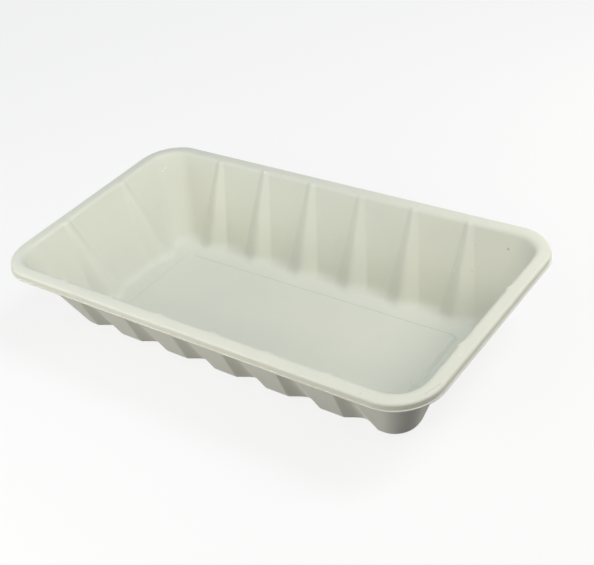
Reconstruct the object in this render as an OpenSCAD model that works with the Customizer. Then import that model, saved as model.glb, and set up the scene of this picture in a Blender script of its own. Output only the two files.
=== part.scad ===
// Rectangular food tray, moulded in one thin wall. A flat rim turns down into a skirt with a thin
// trimmed lip, sloping walls are stiffened by inward ribs that widen towards the floor, and a low
// panel is raised in the middle of the floor, so that the tray stands on the border around it.
// The origin is on the table under the middle of the tray, with X along its length and Z up.

/* [Tray] */
// Length over the trimmed lip
tray_length = 231; // [180:1:320]
// Width over the trimmed lip
tray_width = 126; // [110:1:200]
// Height from the table to the top of the rim
tray_height = 42.5; // [30:0.5:60]
// Thickness of the moulded wall
wall_thickness = 0.8; // [0.5:0.05:1.5]

/* [Rim] */
// Radius of the lip's corners, seen from above
lip_corner_radius = 20.5; // [15:0.5:30]
// How far the trimmed lip stands out from the skirt
lip_reach = 0.25; // [0.1:0.05:1]
// Thickness of the trimmed lip
lip_thickness = 0.6; // [0.4:0.05:1.2]
// Height of the skirt, from the trimmed lip's underside to the top of the rim
skirt_height = 3.7; // [3:0.1:8]
// How much further out the skirt stands at its foot than at its top
skirt_flare = 0.05; // [0:0.05:0.6]
// Width of the rim, from the top of the skirt to the line where the wall starts
rim_width = 6.4; // [4:0.1:9]
// Radius under the bend between skirt and rim
rim_edge_bend = 0.45; // [0.2:0.05:1]
// Radius under the bend between rim and wall
shoulder_bend = 1.7; // [0.2:0.05:2.5]

/* [Walls] */
// Slope of the walls, in degrees from upright
wall_slope = 22.2; // [12:0.1:26]
// Radius inside the tray where the walls meet the floor
foot_bend = 5.5; // [3:0.1:8]
// Radius of the inside corners at the foot of the walls, seen from above
foot_corner_radius = 9.6; // [6:0.1:14]

/* [Ribs] */
// Distance between ribs along the long walls
long_rib_pitch = 28.8; // [20:0.1:40]
// Distance between ribs along the short walls
short_rib_pitch = 40; // [25:0.5:50]
// Width of a rib at the rim
rib_top_width = 4.5; // [3:0.1:8]
// Width of a rib at the floor
rib_foot_width = 18.2; // [12:0.1:20]
// How far a rib stands out from its wall at the rim
rib_top_depth = 0.8; // [0.4:0.1:1.5]
// How far a rib stands out from its wall at the floor
rib_foot_depth = 3.5; // [1.5:0.1:5]
// Roundness of a rib's nose, as a share of half its width
rib_nose = 0.35; // [0.1:0.05:1]

/* [Floor] */
// Width of the border that the tray stands on, from the foot of the walls to the raised panel
border_width = 8.3; // [6:0.1:12]
// Height of the raised panel above the border
panel_rise = 1.4; // [0.6:0.1:3]
// Width of the sloping edge around the raised panel, seen from above
panel_edge_width = 1.3; // [0.6:0.1:3]
// Radius of the raised panel's corners, seen from above
panel_corner_radius = 3; // [1:0.5:5]

/* [Hidden] */

// Steps around a corner, round the rim's edge, over the shoulder and through the foot of the wall
corner_steps = 8;
edge_steps = 4;
shoulder_steps = 4;
foot_steps = 5;
// Places across a rib, as shares of half its width
rib_stations = [-1, -0.6, -0.3, 0, 0.3, 0.6, 1];
// Least distance from the edge of a rib to the corner beside it
rib_clearance = 0.4;

// Levels and insets: an inset is the distance inwards from the trimmed lip, seen from above
half_size = [tray_length, tray_width] / 2;
lip_bottom = tray_height - skirt_height;
skirt_top_inset = lip_reach + skirt_flare;
wall_top_inset = skirt_top_inset + rim_width;
wall_foot_inset = wall_top_inset + (tray_height - wall_thickness) * tan(wall_slope);
wall_turn = 90 - wall_slope;
edge_radius = rim_edge_bend + wall_thickness;
shoulder_radius = shoulder_bend + wall_thickness;
shoulder_centre = [wall_top_inset - shoulder_radius * tan(wall_turn / 2), tray_height - shoulder_radius];
foot_centre = [wall_foot_inset + foot_bend * tan(wall_turn / 2), wall_thickness + foot_bend];

// Raised panel: half its size at the top, and how far its underside's edges lie inside those on top
panel_foot_inset = foot_centre.x + border_width;
panel_top_inset = panel_foot_inset + panel_edge_width;
panel_edge_shift = wall_thickness * tan(atan2(panel_rise, panel_edge_width) / 2);

// Where the straight of a side ends on the floor, from the side's middle
function floor_straight(half_side) = half_side - foot_centre.x - foot_corner_radius;

// Rib centres along each kind of side, as many as fit between the corners on the floor, where the
// outer half of the last rib may narrow to half its width
function rib_centres(half_side, pitch) =
    let (straight = 2 * (floor_straight(half_side) - rib_clearance),
         step = max(pitch, rib_foot_width),
         count = straight < rib_foot_width / 2 ? 0 : 1 + floor((straight - rib_foot_width / 2) / step))
    [for (i = [0:1:count - 1]) (i - (count - 1) / 2) * step];
short_side_ribs = rib_centres(half_size.y, short_rib_pitch);
long_side_ribs = rib_centres(half_size.x, long_rib_pitch);

// The ribs of the four sides in turn, starting with the short side at +X
side_ribs = [short_side_ribs, long_side_ribs, short_side_ribs, long_side_ribs];

// A rib's outline across its width: 1 at its rounded nose, 0 at its two creases
function rib_outline(station) =
    (norm([1, rib_nose]) - norm([station, rib_nose])) / (norm([1, rib_nose]) - rib_nose);

// Quarter turn of a corner with its straight side before it
function corner_points(reach, run, radius, out, along, z) =
    [for (i = [0:corner_steps]) let (a = 90 * i / corner_steps,
         p = out * (reach - radius + radius * cos(a)) + along * (run - radius + radius * sin(a)))
         [p.x, p.y, z]];

// Half the width of a rib at a station's side of it, which ends before the corner
function rib_half(width, centre, station, straight_end) =
    min(width / 2, straight_end - rib_clearance - centre * sign(station));

// One closed ring at height z, anticlockwise from above. A plain ring has one point for each rib, at
// its centre or, on a ring whose sides are too short for that, nearer the middle. A ribbed ring has a
// point at each station of each rib.
function ring(inset, z, radius, ribbed = false, rib_width = 0, rib_depth = 0) =
    [for (side = [0:3]) let (
         out = [cos(90 * side), sin(90 * side)],
         along = [-sin(90 * side), cos(90 * side)],
         reach = (side % 2 == 0 ? half_size.x : half_size.y) - inset,
         run = (side % 2 == 0 ? half_size.y : half_size.x) - inset,
         last_rib = max(concat(side_ribs[side], [rib_clearance])),
         nearness = min(1, (run - radius - rib_clearance) / last_rib))
     each concat(
         [for (centre = side_ribs[side], station = ribbed ? rib_stations : [0]) let (
              place = ribbed ? centre + station * rib_half(rib_width, centre, station, run - radius)
                             : centre * nearness,
              p = out * (reach - rib_depth * rib_outline(station)) + along * place)
              [p.x, p.y, z]],
         corner_points(reach, run, radius, out, along, z))];

// For each point of a ribbed ring, the point of a plain ring that it joins
ring_groups = [for (ribs = side_ribs) each concat(
    [for (rib = ribs) len(rib_stations)], [for (i = [0:corner_steps]) 1])];
group_of = [for (i = [0:len(ring_groups) - 1], n = [1:1:ring_groups[i]]) i];

// One face of the wall in section, from the rim over the shoulder and down to the floor, as
// [inset, height]: the inside of the tray at depth 0, its outside at the wall's thickness
function wall_section(depth) = concat(
    [for (i = [0:shoulder_steps]) let (a = wall_turn * i / shoulder_steps)
         shoulder_centre + (shoulder_radius - depth) * [sin(a), cos(a)]],
    [for (i = [0:foot_steps]) let (a = wall_turn * (1 - i / foot_steps))
         foot_centre - (foot_bend + depth) * [sin(a), cos(a)]]);
inner_section = wall_section(0);

// How far down the wall a point is: 0 at the rim, 1 at the floor
function share_down(z) = (tray_height - z) / (tray_height - wall_thickness);
function blend(top, foot, share) = top + (foot - top) * share;

// One face of the wall: its corners and ribs follow the inner face, so that the wall keeps its thickness
function wall_rings(depth) = let (section = wall_section(depth))
    [for (i = [0:len(section) - 1]) let (
         share = share_down(inner_section[i].y),
         inner_radius = blend(lip_corner_radius - wall_top_inset, foot_corner_radius, share))
         ring(section[i].x, section[i].y, inner_radius + inner_section[i].x - section[i].x, true,
              blend(rib_top_width, rib_foot_width, share), blend(rib_top_depth, rib_foot_depth, share))];

// The rim's outside, from the trimmed lip up the skirt and round the edge onto the flat
function outline_ring(p) = ring(p.x, p.y, lip_corner_radius - p.x);
function edge_arc(radius) =
    [for (i = [0:edge_steps]) let (a = 90 * i / edge_steps)
         [skirt_top_inset + edge_radius - radius * cos(a), tray_height - edge_radius + radius * sin(a)]];
lip_top = lip_bottom + lip_thickness;
outer_rim = concat([[0, lip_bottom], [0, lip_top], [lip_reach, lip_top]], edge_arc(edge_radius));
under_rim = concat([[lip_reach + wall_thickness, lip_bottom]], edge_arc(rim_edge_bend));

// The raised panel's edge at a height above the border, on the top face or the underside
function panel_ring(inset, z) = ring(inset, z, panel_corner_radius + panel_top_inset - inset);
panel_top = [panel_ring(panel_foot_inset, wall_thickness),
    panel_ring(panel_top_inset, wall_thickness + panel_rise)];
panel_under = [panel_ring(panel_foot_inset + panel_edge_shift, 0),
    panel_ring(panel_top_inset + panel_edge_shift, panel_rise)];

function reversed(list) = [for (i = [len(list) - 1:-1:0]) list[i]];

// Every ring of the shell, from the middle of the underside out to the lip and back over the top
rings = concat(
    reversed(panel_under),
    reversed(wall_rings(wall_thickness)),
    reversed([for (p = under_rim) outline_ring(p)]),
    [for (p = outer_rim) outline_ring(p)],
    wall_rings(0),
    panel_top);
ring_start = [for (i = 0, total = 0; i < len(rings); total = total + len(rings[i]), i = i + 1) total];

// Triangles between two rings with as many points, each quadrilateral cut along its shorter diagonal
function like_band(a, b) = let (count = len(rings[a]), p = ring_start[a], q = ring_start[b])
    [for (i = [0:count - 1]) let (j = (i + 1) % count,
         other = norm(rings[a][i] - rings[b][j]) > norm(rings[a][j] - rings[b][i]))
         each other ? [[p + i, q + i, p + j], [q + i, q + j, p + j]]
                    : [[p + i, q + i, q + j], [p + i, q + j, p + j]]];

// Triangles from each plain point to its group of ribbed points, and between neighbouring groups
function mixed_band(plain, ribbed, flipped) =
    let (count = len(rings[ribbed]), p = ring_start[plain], q = ring_start[ribbed])
    [for (i = [0:count - 1]) let (j = (i + 1) % count, g = p + group_of[i], h = p + group_of[j],
         faces = g == h ? [[g, q + i, q + j]] : [[g, q + i, q + j], [g, q + j, h]])
         each [for (f = faces) flipped ? reversed(f) : f]];

function band(a, b) =
    len(rings[a]) == len(rings[b]) ? like_band(a, b) :
    len(rings[a]) < len(rings[b]) ? mixed_band(a, b, false) : mixed_band(b, a, true);

// The flat middle of the floor inside a ring, as one face that starts halfway round a corner
function cap(ring_number) =
    let (count = len(rings[ring_number]), first = len(side_ribs[0]) + floor(corner_steps / 2))
    [for (i = [0:count - 1]) ring_start[ring_number] + (first + i) % count];

module tray() {
    last = len(rings) - 1;
    color("#dfe2d2")
    polyhedron(
        points = [for (r = rings) each r],
        faces = concat(
            [cap(0)],
            [for (i = [0:last - 1]) each band(i, i + 1)],
            [reversed(cap(last))]));
}

tray();
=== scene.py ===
"""A compostable serving tray on a pale floor: one thin moulded shell with a turned-down rim, ribbed
sloping walls and a raised floor panel, in satin green-ivory bioplastic."""

import math

import bmesh
import bpy
from mathutils import Matrix, Vector


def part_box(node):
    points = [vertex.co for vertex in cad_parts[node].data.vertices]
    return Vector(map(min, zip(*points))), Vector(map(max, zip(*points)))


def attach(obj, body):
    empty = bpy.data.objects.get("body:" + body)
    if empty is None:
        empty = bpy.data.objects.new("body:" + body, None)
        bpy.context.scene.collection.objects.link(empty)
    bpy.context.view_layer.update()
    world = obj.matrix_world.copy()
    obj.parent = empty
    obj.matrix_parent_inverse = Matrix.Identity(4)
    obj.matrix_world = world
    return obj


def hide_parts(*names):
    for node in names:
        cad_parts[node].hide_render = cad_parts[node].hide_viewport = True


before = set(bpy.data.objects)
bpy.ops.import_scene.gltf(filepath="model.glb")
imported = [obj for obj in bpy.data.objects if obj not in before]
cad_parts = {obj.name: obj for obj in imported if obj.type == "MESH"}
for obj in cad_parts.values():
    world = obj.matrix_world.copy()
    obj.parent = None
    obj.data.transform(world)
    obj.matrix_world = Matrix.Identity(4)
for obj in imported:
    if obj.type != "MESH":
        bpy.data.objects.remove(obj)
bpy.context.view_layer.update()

MM = 0.001

# Overall size, from the frame
tray_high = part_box("tray")[1]
HALF_SIZE = (tray_high[0], tray_high[1])
HEIGHT = tray_high[2]

# The moulded wall and its rim: sizes of the CAD model, and the slight crown of the rim's top
WALL = 0.8 * MM
LIP_CORNER_RADIUS = 20.5 * MM
LIP_REACH = 0.25 * MM
LIP_THICKNESS = 0.6 * MM
SKIRT_HEIGHT = 3.7 * MM
SKIRT_FLARE = 0.05 * MM
RIM_WIDTH = 6.4 * MM
RIM_EDGE_BEND = 0.45 * MM
SHOULDER_BEND = 1.7 * MM
RIM_CROWN = 0.2 * MM        # how much lower the rim's flat is at its outer edge than at the shoulder

# Walls and floor
WALL_SLOPE = math.radians(22.2)
FOOT_BEND = 5.5 * MM
FOOT_EASE = 1.3             # how much further the foot's bend runs up the wall than into the floor
FOOT_CORNER_RADIUS = 9.6 * MM
BORDER_WIDTH = 8.3 * MM
PANEL_RISE = 1.4 * MM
PANEL_EDGE_WIDTH = 1.3 * MM
PANEL_CORNER_RADIUS = 3 * MM
CREASE_WIDTH, CREASE_DEPTH = 0.4 * MM, 0.2 * MM
CREASE_BOTTOM = (0.75, 0.25)    # where its level bottom starts and ends, as shares of its width

# Ribs: their number and spacing on the short and the long sides, and their size at rim and floor
RIBS = {"short": (2, 40 * MM), "long": (6, 28.8 * MM)}
RIB_TOP_WIDTH, RIB_FOOT_WIDTH = 4.5 * MM, 18.2 * MM
RIB_TOP_DEPTH, RIB_FOOT_DEPTH = 0.8 * MM, 3.5 * MM
RIB_NOSE = 0.35
RIB_CLEARANCE = 0.4 * MM

# Fineness of the mesh: steps round each bend, and the distance from a bend to its support ring
CORNER_STEPS = 24
EDGE_STEPS = 8
RIM_STEPS = 6
SHOULDER_STEPS = 8
FOOT_STEPS = 12
WALL_STEPS = 6
RIB_STEPS = 16
SUPPORT = 0.4 * MM
LIP_ROUND = 0.1 * MM

# Levels and insets: an inset is the distance inwards from the trimmed lip, seen from above
LIP_BOTTOM = HEIGHT - SKIRT_HEIGHT
LIP_TOP = LIP_BOTTOM + LIP_THICKNESS
SKIRT_TOP_INSET = LIP_REACH + SKIRT_FLARE
WALL_TOP_INSET = SKIRT_TOP_INSET + RIM_WIDTH
WALL_FOOT_INSET = WALL_TOP_INSET + (HEIGHT - WALL) * math.tan(WALL_SLOPE)
WALL_TOP_RADIUS = LIP_CORNER_RADIUS - WALL_TOP_INSET
WALL_TURN = math.pi / 2 - WALL_SLOPE
EDGE_RADIUS = RIM_EDGE_BEND + WALL
SHOULDER_RADIUS = SHOULDER_BEND + WALL
SHOULDER_CENTRE = Vector((WALL_TOP_INSET - SHOULDER_RADIUS * math.tan(WALL_TURN / 2),
                          HEIGHT - SHOULDER_RADIUS))
FOOT_CENTRE = Vector((WALL_FOOT_INSET + FOOT_BEND * math.tan(WALL_TURN / 2), WALL + FOOT_BEND))
PANEL_CREASE = ((-CREASE_WIDTH, 0), *((-CREASE_WIDTH * share, -CREASE_DEPTH) for share in CREASE_BOTTOM))
FLAT_START, FLAT_END = SKIRT_TOP_INSET + EDGE_RADIUS, SHOULDER_CENTRE.x
CROWN_TILT = math.atan2(2 * RIM_CROWN, FLAT_END - FLAT_START)
PANEL_FOOT_INSET = FOOT_CENTRE.x + BORDER_WIDTH
PANEL_TOP_INSET = PANEL_FOOT_INSET + PANEL_EDGE_WIDTH
PANEL_EDGE_SHIFT = WALL * math.tan(math.atan2(PANEL_RISE, PANEL_EDGE_WIDTH) / 2)


def blend(start, end, share):
    return start + (end - start) * share


def arc(centre, radius, start, end, steps):
    """Points of the section round a bend, from one angle to another. Angle 0 points up, a quarter turn
    points inwards."""
    angles = [blend(start, end, i / steps) for i in range(steps + 1)]
    return [centre + radius * Vector((math.sin(a), math.cos(a))) for a in angles]


def straight(start, end, steps):
    """Rings inside a straight stretch of the section, the first and last one close to its ends."""
    near = min(SUPPORT / (end - start).xy.length, 1 / 3)
    return [blend(start, end, blend(near, 1 - near, i / steps)) for i in range(steps + 1)]


def rib_outline(share):
    """A rib's height across its width: 1 at its rounded nose, 0 at its creases."""
    full = math.hypot(1, RIB_NOSE)
    return (full - math.hypot(share, RIB_NOSE)) / (full - RIB_NOSE)


def flat_places(start, end):
    """Places along a flat stretch of a side, the outer ones close to its ends."""
    near = min(SUPPORT, (end - start) / 3)
    return [(start + near, 0), ((start + end) / 2, 0), (end - near, 0)]


def side_places(kind, end, rib_width):
    """Places along a side from its middle, each with the height of a rib there, from 0 to 1. The outer
    half of the last rib ends before the corner."""
    count, pitch = RIBS[kind]
    places, edge = [], -end
    for rib in range(count):
        centre = (rib - (count - 1) / 2) * pitch
        halves = [min(rib_width / 2, end - RIB_CLEARANCE + way * centre) for way in (1, -1)]
        places += flat_places(edge, centre - halves[0])
        for step in range(RIB_STEPS + 1):
            share = 2 * step / RIB_STEPS - 1
            places.append((centre + share * halves[share > 0], rib_outline(share)))
        edge = centre + halves[1]
    return places + flat_places(edge, end)


def ring(point, rib_width=RIB_TOP_WIDTH, rib_depth=0.0, places_end=None):
    """One closed loop of points, anticlockwise from above, from its (inset, height, corner radius).
    places_end is the half length of the straight side that the places are laid out for, where it
    isn't the ring's own."""
    inset, z, radius = point
    points = []
    for side in range(4):
        outwards = Vector((round(math.cos(side * math.pi / 2)), round(math.sin(side * math.pi / 2)), 0))
        along = Vector((-outwards.y, outwards.x, 0))
        kind = "short" if side % 2 == 0 else "long"
        reach = HALF_SIZE[side % 2] - inset
        end = HALF_SIZE[1 - side % 2] - inset - radius
        laid_out = end if places_end is None else places_end[kind]
        for place, height in side_places(kind, laid_out, rib_width):
            points.append(outwards * (reach - rib_depth * height) + along * (place * end / laid_out))
        for step in range(CORNER_STEPS + 1):
            a = math.pi / 2 * step / CORNER_STEPS
            turn = outwards * math.cos(a) + along * math.sin(a)
            points.append(outwards * (reach - radius) + along * end + turn * radius)
    return [p + Vector((0, 0, z)) for p in points]


def eased_foot():
    """The bend between wall and floor on the inside, which starts gently up on the wall."""
    corner = Vector((WALL_FOOT_INSET, WALL))
    reach = FOOT_BEND * math.tan(WALL_TURN / 2)
    start = corner + reach * FOOT_EASE * Vector((-math.sin(WALL_SLOPE), math.cos(WALL_SLOPE)))
    end = corner + Vector((reach, 0))
    shares = [i / FOOT_STEPS for i in range(FOOT_STEPS + 1)]
    return [blend(blend(start, corner, t), blend(corner, end, t), t) for t in shares]


def wall_section(depth):
    """One face of the wall, from the rim over the shoulder and down to the floor: the inside at depth
    0, the outside at the wall's thickness."""
    shoulder = arc(SHOULDER_CENTRE, SHOULDER_RADIUS - depth, 0, WALL_TURN, SHOULDER_STEPS)
    foot = arc(FOOT_CENTRE, -(FOOT_BEND + depth), WALL_TURN, 0, FOOT_STEPS) if depth else eased_foot()
    return shoulder + straight(shoulder[-1], foot[0], WALL_STEPS) + foot


def wall_rings(depth):
    """Rings of one face of the wall. Corners and ribs follow the inside, so the thickness is even."""
    rings = []
    for inner, point in zip(wall_section(0), wall_section(depth)):
        share = (HEIGHT - inner.y) / (HEIGHT - WALL)
        radius = blend(WALL_TOP_RADIUS, FOOT_CORNER_RADIUS, share)
        rings.append(ring((*point, radius + inner.x - point.x),
                          blend(RIB_TOP_WIDTH, RIB_FOOT_WIDTH, share),
                          blend(RIB_TOP_DEPTH, RIB_FOOT_DEPTH, share)))
    return rings


def at_rim(x, z):
    """A ring of the rim at an inset and a height, which keeps the centres of the lip's corners."""
    return Vector((x, z, LIP_CORNER_RADIUS - x))


def edge_arc(radius):
    """The bend between skirt and rim, from the skirt up to the start of the crowned flat."""
    top = Vector((FLAT_START, HEIGHT - RIM_CROWN))
    centre = top - EDGE_RADIUS * Vector((-math.sin(CROWN_TILT), math.cos(CROWN_TILT)))
    return [at_rim(*p) for p in arc(centre, radius, -math.pi / 2, -CROWN_TILT, EDGE_STEPS)]


def crowned_flat(level):
    """The rim's flat, which rises to its level at the shoulder and is level there. Its corners turn
    from those of the lip into those of the wall."""
    shares = [i / RIM_STEPS for i in range(1, RIM_STEPS)]
    return [Vector((blend(FLAT_START, FLAT_END, t), level - RIM_CROWN * (1 - t) ** 2,
                    blend(LIP_CORNER_RADIUS - FLAT_START, WALL_TOP_RADIUS, t))) for t in shares]


def rim_rings():
    """The rim's outside, from the trimmed lip's underside up the skirt and onto the flat."""
    lip = [at_rim(LIP_ROUND, LIP_BOTTOM), at_rim(0, LIP_BOTTOM + LIP_ROUND),
           at_rim(0, LIP_TOP - LIP_ROUND), at_rim(LIP_ROUND, LIP_TOP),
           at_rim(LIP_REACH - LIP_ROUND, LIP_TOP), at_rim(LIP_REACH, LIP_TOP + LIP_ROUND)]
    edge = edge_arc(EDGE_RADIUS)
    section = lip + straight(lip[-1], edge[0], 1) + edge + crowned_flat(HEIGHT)
    return [ring(p) for p in section]


def under_rim_rings():
    """The rim's hollow side, from the foot of the skirt up and under the flat."""
    inside = LIP_REACH + WALL
    foot = [at_rim(inside - LIP_ROUND, LIP_BOTTOM), at_rim(inside, LIP_BOTTOM + LIP_ROUND)]
    edge = edge_arc(RIM_EDGE_BEND)
    section = foot + straight(foot[-1], edge[0], 1) + edge + crowned_flat(HEIGHT - WALL)
    return [ring(p) for p in section]


def panel_rings(shift, level, crease=()):
    """The raised panel's sloping edge, from the border up, with support rings round both bends. The
    crease, if any, is cut along its foot."""
    foot = Vector((PANEL_FOOT_INSET + shift, level))
    top = Vector((PANEL_TOP_INSET + shift, level + PANEL_RISE))
    near = Vector((SUPPORT / 2, 0))
    before = foot - near - Vector((CREASE_WIDTH, 0))
    dip = [foot + Vector(place) for place in crease]
    section = [before, *dip, foot, *straight(foot, top, 1), top, top + near]
    floor_ends = {"short": HALF_SIZE[1] - FOOT_CENTRE.x - FOOT_CORNER_RADIUS,
                  "long": HALF_SIZE[0] - FOOT_CENTRE.x - FOOT_CORNER_RADIUS}
    return [ring((*p, PANEL_CORNER_RADIUS + PANEL_TOP_INSET - p.x), RIB_FOOT_WIDTH, 0.0, floor_ends)
            for p in section]


def extrude_loop(bm, loop, points):
    """Extrudes a closed loop of vertices and moves the new loop onto the points of a ring."""
    edges = [bm.edges.get(pair) for pair in zip(loop, loop[1:] + loop[:1])]
    made = bmesh.ops.extrude_edge_only(bm, edges=edges)["geom"]
    fresh = {item for item in made if isinstance(item, bmesh.types.BMVert)}
    new_loop = [next(e.other_vert(v) for e in v.link_edges if e.other_vert(v) in fresh) for v in loop]
    for vert, point in zip(new_loop, points):
        vert.co = point
    return new_loop


def tray_shell():
    """The whole shell: a loop in the floor's underside, extruded ring by ring out under the floor, up
    the outside, round the rim, down the inside and back over the floor."""
    rings = (panel_rings(PANEL_EDGE_SHIFT, 0)[::-1] + wall_rings(WALL)[::-1]
             + under_rim_rings()[::-1] + rim_rings() + wall_rings(0) + panel_rings(0, WALL, PANEL_CREASE))
    bm = bmesh.new()
    loop = bmesh.ops.create_circle(bm, segments=len(rings[0]), radius=1)["verts"]
    for vert, point in zip(loop, rings[0]):
        vert.co = point
    bmesh.ops.contextual_create(bm, geom=bm.edges[:])
    for points in rings[1:]:
        loop = extrude_loop(bm, loop, points)
    last_edges = [bm.edges.get(pair) for pair in zip(loop, loop[1:] + loop[:1])]
    bmesh.ops.contextual_create(bm, geom=last_edges)
    bmesh.ops.recalc_face_normals(bm, faces=bm.faces[:])
    for face in bm.faces:
        face.smooth = True
    mesh = bpy.data.meshes.new("tray_shell")
    bm.to_mesh(mesh)
    bm.free()
    shell = bpy.data.objects.new("tray_shell", mesh)
    bpy.context.scene.collection.objects.link(shell)
    return shell


# Sockets of a Mix node for colours: the two colours and the result
COLOUR_A, COLOUR_B, MIXED = 6, 7, 2


def node(tree, kind, inputs=(), **settings):
    """Adds a shader node: its settings, then its inputs by name or number, each a value or a socket."""
    made = tree.nodes.new(kind)
    for name, value in settings.items():
        setattr(made, name, value)
    for name, value in dict(inputs).items():
        if isinstance(value, bpy.types.NodeSocket):
            tree.links.new(value, made.inputs[name])
        else:
            made.inputs[name].default_value = value
    return made


def group(name, inputs, output):
    """Starts a shader node group with the named inputs and one output: the tree, its input sockets and
    a function that joins a socket to the output."""
    tree = bpy.data.node_groups.new(name, "ShaderNodeTree")
    for socket, kind in inputs:
        tree.interface.new_socket(socket, in_out="INPUT", socket_type=kind)
    tree.interface.new_socket(output[0], in_out="OUTPUT", socket_type=output[1])
    source = tree.nodes.new("NodeGroupInput")
    sink = tree.nodes.new("NodeGroupOutput")
    return tree, source.outputs, lambda socket: tree.links.new(socket, sink.inputs[0])


# The finish: how large, how deep and how strong each of its patterns is
CLOUD_SCALE, CLOUD_DETAIL, CLOUD_RANGE = 28.0, 3.0, (0.3, 0.7)
FLECK_SCALE, FLECK_SIZE, FLECK_STRENGTH = 300.0, 0.06, 0.28
FLECK_RARITY = 0.95             # share of the pattern's cells that hold no fleck
MARK_FADE = (1.35, 0.55)        # distances at which a mark starts and is full, in its radii
WAVE_SCALE, WAVE_DETAIL, WAVE_HEIGHT, WAVE_STRENGTH = 45.0, 1.0, 0.35 * MM, 0.25
GRAIN_SCALE, GRAIN_DETAIL, GRAIN_HEIGHT, GRAIN_STRENGTH = 1600.0, 2.0, 0.02 * MM, 0.5
ROUGHNESS_RANGE = (0.36, 0.4)
SPECULAR_LEVEL = 0.1


def mark_group():
    """Mask of a small mark drawn from one place to another: 1 along its middle, with a soft edge."""
    tree, given, done = group("mark", [("Place", "NodeSocketVector"), ("Start", "NodeSocketVector"),
                                       ("End", "NodeSocketVector"), ("Radius", "NodeSocketFloat")],
                              ("Mask", "NodeSocketFloat"))

    def vector(operation, first, second):
        made = node(tree, "ShaderNodeVectorMath", {0: first, 1: second}, operation=operation)
        return made.outputs["Value" if operation in ("DOT_PRODUCT", "DISTANCE") else "Vector"]

    line = vector("SUBTRACT", given["End"], given["Start"])
    way = vector("SUBTRACT", given["Place"], given["Start"])
    along = node(tree, "ShaderNodeMath", {0: vector("DOT_PRODUCT", way, line),
                                          1: vector("DOT_PRODUCT", line, line)},
                 operation="DIVIDE", use_clamp=True)
    nearest = node(tree, "ShaderNodeVectorMath", {0: line, "Scale": along.outputs[0]}, operation="SCALE")
    away = vector("DISTANCE", way, nearest.outputs["Vector"])
    share = node(tree, "ShaderNodeMath", {0: away, 1: given["Radius"]}, operation="DIVIDE")
    mask = node(tree, "ShaderNodeMapRange", {"Value": share.outputs[0], "From Min": MARK_FADE[0],
                                             "From Max": MARK_FADE[1]}, interpolation_type="SMOOTHSTEP")
    done(mask.outputs[0])
    return tree


def fleck_group():
    """Mask of tiny flecks, strewn about one to each of a few cells of a pattern."""
    tree, given, done = group("flecks", [("Place", "NodeSocketVector"), ("Scale", "NodeSocketFloat"),
                                         ("Size", "NodeSocketFloat")], ("Mask", "NodeSocketFloat"))
    cells = node(tree, "ShaderNodeTexVoronoi", {"Vector": given["Place"], "Scale": given["Scale"]})
    near = node(tree, "ShaderNodeMath", {0: cells.outputs["Distance"], 1: given["Size"]},
                operation="LESS_THAN")
    chance = node(tree, "ShaderNodeSeparateColor", {0: cells.outputs["Color"]})
    few = node(tree, "ShaderNodeMath", {0: chance.outputs[0], 1: FLECK_RARITY}, operation="GREATER_THAN")
    mask = node(tree, "ShaderNodeMath", {0: near.outputs[0], 1: few.outputs[0]}, operation="MULTIPLY")
    done(mask.outputs[0])
    return tree


def cloud_group():
    """Uneven cloudiness between 0 and 1, in broad soft patches."""
    tree, given, done = group("clouds", [("Place", "NodeSocketVector"), ("Scale", "NodeSocketFloat")],
                              ("Mask", "NodeSocketFloat"))
    broad = node(tree, "ShaderNodeTexNoise", {"Vector": given["Place"], "Scale": given["Scale"],
                                              "Detail": CLOUD_DETAIL})
    mask = node(tree, "ShaderNodeMapRange", {"Value": broad.outputs[0], "From Min": CLOUD_RANGE[0],
                                             "From Max": CLOUD_RANGE[1]})
    done(mask.outputs[0])
    return tree


# Colours of the plastic, and its marks, among them a painted shadow line: start and end on the tray in
# millimetres, radius and strength
IVORY = (0.650, 0.665, 0.582, 1)
GREY_IVORY = (0.630, 0.648, 0.572, 1)
# The brown of the flecks and dark marks, which also paints the shade of the line along the panel's left edge
MARK_AND_SHADE_BROWN = (0.30, 0.28, 0.20, 1)
MARK_PALE = (0.90, 0.90, 0.82, 1)


def speck(place, radius, strength):
    return place, place, radius, strength


DARK_MARKS_AND_SHADE_LINE = [speck((91.9, 53.4, 35.3), 0.62, 0.55), speck((76.5, 52.7, 33.6), 0.4, 0.16),
              speck((-100.2, 32.2, 21.4), 0.5, 0.16), speck((-53.1, 40.2, 3.3), 0.3, 0.35),
              speck((76.6, 47.7, 22.6), 0.6, 0.14), speck((76.9, -9.3, 2.2), 0.5, 0.2),
              ((89.1, -61.9, 41.9), (90.0, -60.4, 42.4), 0.22, 0.3),
              ((111.4, -50.1, 42.3), (112.5, -46.6, 42.3), 0.3, 0.22),
              ((112.5, -46.6, 42.3), (113.6, -42.8, 42.3), 0.3, 0.22),
              # The last mark is painted shade: a dark line along the crease at the foot of the raised
              # panel's left edge, where a shadow falls
              ((-80.1, -26.5, 0.7), (-80.1, 26.5, 0.7), 0.42, 0.16)]
PALE_MARKS = [speck((-43.0, 56.3, 42.4), 0.55, 0.8), speck((-104.6, 45.8, 35.3), 0.35, 0.7),
              speck((-104.2, 47.6, 36.2), 0.35, 0.8), speck((112.0, -25.7, 42.3), 0.35, 0.8),
              speck((112.5, -24.6, 42.3), 0.3, 0.7), speck((67.7, 46.8, 20.9), 0.4, 0.5)]


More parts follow.
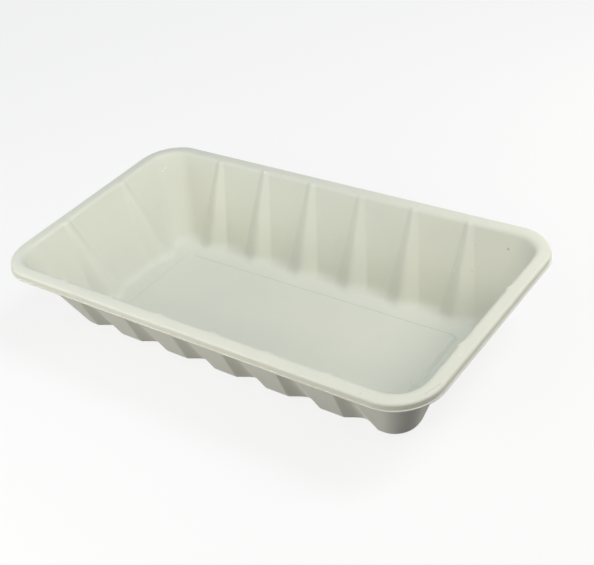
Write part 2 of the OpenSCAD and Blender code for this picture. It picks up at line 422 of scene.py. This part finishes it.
def bioplastic():
    """Satin starch bioplastic: ivory with a green cast, faintly clouded, with a few specks and marks, and a
    painted shadow line along the raised panel's left edge.
    """
    material = bpy.data.materials.new("satin_bioplastic")
    material.use_nodes = True
    tree = material.node_tree
    shader = tree.nodes["Principled BSDF"]
    place = node(tree, "ShaderNodeTexCoord").outputs["Object"]
    clouds, mark, flecks = cloud_group(), mark_group(), fleck_group()

    def mixed(factor, first, second):
        return node(tree, "ShaderNodeMix", {"Factor": factor, COLOUR_A: first, COLOUR_B: second},
                    data_type="RGBA").outputs[MIXED]

    def marked(colour, mask, strength, ink):
        level = node(tree, "ShaderNodeMath", {0: mask, 1: strength}, operation="MULTIPLY").outputs[0]
        return mixed(level, colour, ink)

    broad = node(tree, "ShaderNodeGroup", {"Place": place, "Scale": CLOUD_SCALE}, node_tree=clouds)
    colour = mixed(broad.outputs[0], IVORY, GREY_IVORY)
    strewn = node(tree, "ShaderNodeGroup", {"Place": place, "Scale": FLECK_SCALE, "Size": FLECK_SIZE},
                  node_tree=flecks)
    colour = marked(colour, strewn.outputs[0], FLECK_STRENGTH, MARK_AND_SHADE_BROWN)
    for ink, marks in ((MARK_AND_SHADE_BROWN, DARK_MARKS_AND_SHADE_LINE), (MARK_PALE, PALE_MARKS)):
        for start, end, radius, strength in marks:
            mask = node(tree, "ShaderNodeGroup", {"Place": place, "Start": [v * MM for v in start],
                                                  "End": [v * MM for v in end], "Radius": radius * MM},
                        node_tree=mark)
            colour = marked(colour, mask.outputs[0], strength, ink)
    tree.links.new(colour, shader.inputs["Base Color"])

    rough = node(tree, "ShaderNodeMapRange", {"Value": broad.outputs[0], "To Min": ROUGHNESS_RANGE[0],
                                              "To Max": ROUGHNESS_RANGE[1]})
    tree.links.new(rough.outputs[0], shader.inputs["Roughness"])
    shader.inputs["Specular IOR Level"].default_value = SPECULAR_LEVEL

    grain = node(tree, "ShaderNodeTexNoise", {"Vector": place, "Scale": GRAIN_SCALE, "Detail": GRAIN_DETAIL})
    waves = node(tree, "ShaderNodeTexNoise", {"Vector": place, "Scale": WAVE_SCALE, "Detail": WAVE_DETAIL})
    wavy = node(tree, "ShaderNodeBump", {"Height": waves.outputs[0], "Distance": WAVE_HEIGHT,
                                         "Strength": WAVE_STRENGTH})
    skin = node(tree, "ShaderNodeBump", {"Height": grain.outputs[0], "Distance": GRAIN_HEIGHT,
                                         "Strength": GRAIN_STRENGTH, "Normal": wavy.outputs[0]})
    tree.links.new(skin.outputs[0], shader.inputs["Normal"])
    return material


# The floor: half its side in metres, its own grey, and the white that it shows to the camera and in
# gloss on top of that
FLOOR_SIZE = 3
FLOOR_GREY = (0.12, 0.12, 0.12, 1)
FLOOR_WHITE = 0.83


def seen_white(tree, rays, strength):
    """A strength that only camera, glossy and transmission rays see."""
    seen = rays["Is Camera Ray"]
    for kind in ("Is Glossy Ray", "Is Transmission Ray"):
        seen = node(tree, "ShaderNodeMath", {0: seen, 1: rays[kind]}, operation="MAXIMUM").outputs[0]
    return node(tree, "ShaderNodeMath", {0: seen, 1: strength}, operation="MULTIPLY").outputs[0]


def pale_floor():
    """Studio floor that shows white to the camera and in gloss, and keeps the object's shadow."""
    material = bpy.data.materials.new("pale_floor")
    material.use_nodes = True
    tree = material.node_tree
    shader = tree.nodes["Principled BSDF"]
    shader.inputs["Base Color"].default_value = FLOOR_GREY
    shader.inputs["Roughness"].default_value = 1.0
    shader.inputs["Specular IOR Level"].default_value = 0.0
    shader.inputs["Emission Color"].default_value = (1, 1, 1, 1)
    rays = node(tree, "ShaderNodeLightPath").outputs
    tree.links.new(seen_white(tree, rays, FLOOR_WHITE), shader.inputs["Emission Strength"])
    return material


def add_floor():
    """The floor that the tray stands on, which isn't part of the object."""
    bm = bmesh.new()
    bmesh.ops.create_grid(bm, x_segments=1, y_segments=1, size=FLOOR_SIZE)
    mesh = bpy.data.meshes.new("floor")
    bm.to_mesh(mesh)
    bm.free()
    floor = bpy.data.objects.new("floor", mesh)
    bpy.context.scene.collection.objects.link(floor)
    floor.data.materials.append(pale_floor())


# The camera: where it looks from round the tray, its roll, and its lens for the 594 by 565 image
IMAGE_WIDTH = 594
FOCAL_PIXELS = 1113.4
CAMERA_AZIMUTH = math.radians(41.53)
CAMERA_ELEVATION = math.radians(35.23)
CAMERA_ROLL = math.radians(-10.07)
CAMERA_DISTANCE = 496.64 * MM
CAMERA_AIM_HEIGHT = 43 * MM
CAMERA_AIM = (11.22 * MM, -16.62 * MM)
SENSOR_WIDTH = 36.0
NEAR_CLIP = 0.01


def add_camera():
    data = bpy.data.cameras.new("camera")
    data.sensor_fit = "HORIZONTAL"
    data.sensor_width = SENSOR_WIDTH
    data.lens = FOCAL_PIXELS * SENSOR_WIDTH / IMAGE_WIDTH
    data.clip_start = NEAR_CLIP
    camera = bpy.data.objects.new("camera", data)
    bpy.context.scene.collection.objects.link(camera)
    back = Vector((math.sin(CAMERA_AZIMUTH) * math.cos(CAMERA_ELEVATION),
                   -math.cos(CAMERA_AZIMUTH) * math.cos(CAMERA_ELEVATION), math.sin(CAMERA_ELEVATION)))
    level = Vector((math.cos(CAMERA_AZIMUTH), math.sin(CAMERA_AZIMUTH), 0))
    upright = back.cross(level)
    right = math.cos(CAMERA_ROLL) * level + math.sin(CAMERA_ROLL) * upright
    up = back.cross(right)
    aim = Vector((0, 0, CAMERA_AIM_HEIGHT)) + CAMERA_AIM[0] * level + CAMERA_AIM[1] * upright
    turn = Matrix((right, up, back)).transposed().to_4x4()
    camera.matrix_world = Matrix.Translation(aim + back * CAMERA_DISTANCE) @ turn
    bpy.context.scene.camera = camera


def add_lamp(name, azimuth, elevation, distance, size, power, colour):
    """A soft square lamp that points at the tray from an azimuth (0 from +X, 90 from +Y) and elevation.
    It stays out of sight in every view."""
    data = bpy.data.lights.new(name, "AREA")
    data.shape = "SQUARE"
    data.size = size
    data.energy = power
    data.color = colour
    lamp = bpy.data.objects.new(name, data)
    bpy.context.scene.collection.objects.link(lamp)
    a, e = math.radians(azimuth), math.radians(elevation)
    way = Vector((math.cos(a) * math.cos(e), math.sin(a) * math.cos(e), math.sin(e)))
    lamp.location = way * distance
    lamp.rotation_euler = way.to_track_quat("Z", "Y").to_euler()
    lamp.visible_camera = False


# The lamps: azimuth and elevation in degrees, distance and size in metres, power in watts, colour
COOL, WARM = (0.85, 0.91, 1), (1, 0.93, 0.82)
WORLD_WHITE = 1.0
LAMPS = {
    "key": (30, 60, 1.6, 0.5, 12.6, COOL),
    "key_low": (0, 42, 1.6, 0.5, 3.6, WARM),
    "key_fill": (18, 38, 0.4, 0.12, 0.34, WARM),
    "side_fill": (60, 28, 0.4, 0.2, 0.41, WARM),
    "top": (225, 50, 0.4, 0.2, 0.31, COOL),
    "front": (270, 28, 0.4, 0.2, 0.55, WARM),
    "front_left": (240, 28, 0.4, 0.2, 0.29, WARM),
    "front_low": (240, 10, 1.6, 0.5, 5.2, COOL)}


def add_light():
    world = bpy.data.worlds.new("studio")
    world.use_nodes = True
    tree = world.node_tree
    tree.nodes["Background"].inputs["Color"].default_value = (1, 1, 1, 1)
    rays = node(tree, "ShaderNodeLightPath").outputs
    tree.links.new(seen_white(tree, rays, WORLD_WHITE), tree.nodes["Background"].inputs["Strength"])
    bpy.context.scene.world = world
    for name, settings in LAMPS.items():
        add_lamp(name, *settings)


tray = tray_shell()
tray.data.materials.append(bioplastic())
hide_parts("tray")
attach(tray, "root")
add_floor()
add_camera()
add_light()
bpy.context.scene.view_settings.view_transform = "Standard"
